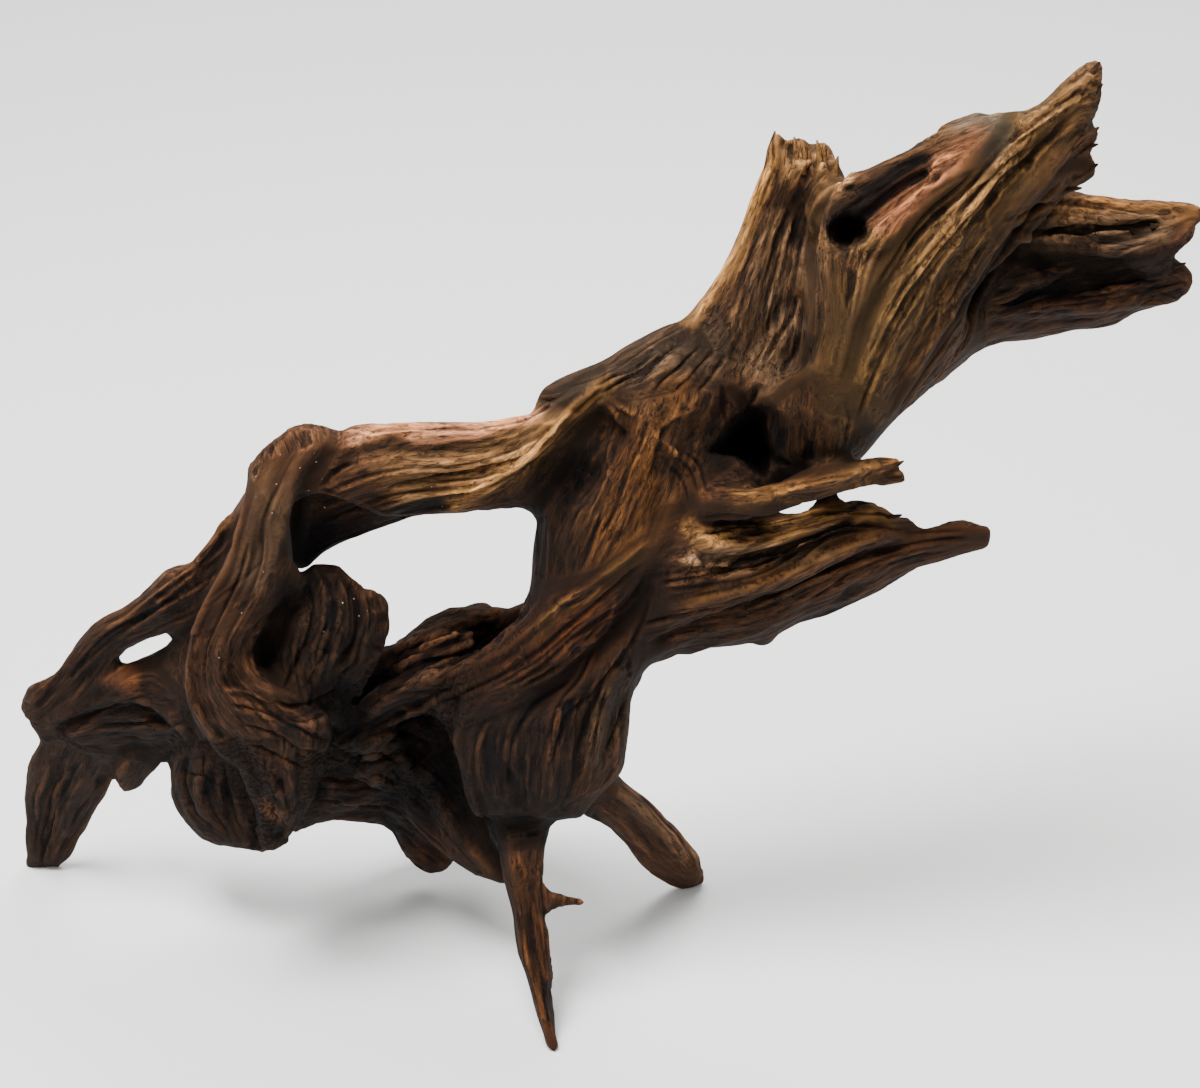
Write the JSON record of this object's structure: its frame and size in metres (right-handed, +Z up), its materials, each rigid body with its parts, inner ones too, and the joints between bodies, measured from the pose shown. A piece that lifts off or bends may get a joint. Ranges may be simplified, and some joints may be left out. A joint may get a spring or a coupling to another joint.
{
  "type": "mangrove driftwood",
  "caption": "Gnarled mangrove root and trunk stump for an aquarium, with an arched window, broken limb ends and knot holes, standing on pointed feet.",
  "frame": {"origin": "centre of the bounding box at the level of the floor it stands on", "axes": "+X along the longest extent, towards the end with the two raised broken limbs; +Z up; -Y towards the viewer of the picture"},
  "size_m": [0.6094, 0.1688, 0.4973],
  "materials": {
    "driftwood": "weathered raw wood"
  },
  "bodies": {
    "root": {"driftwood": "driftwood"}
  },
  "joints": []
}
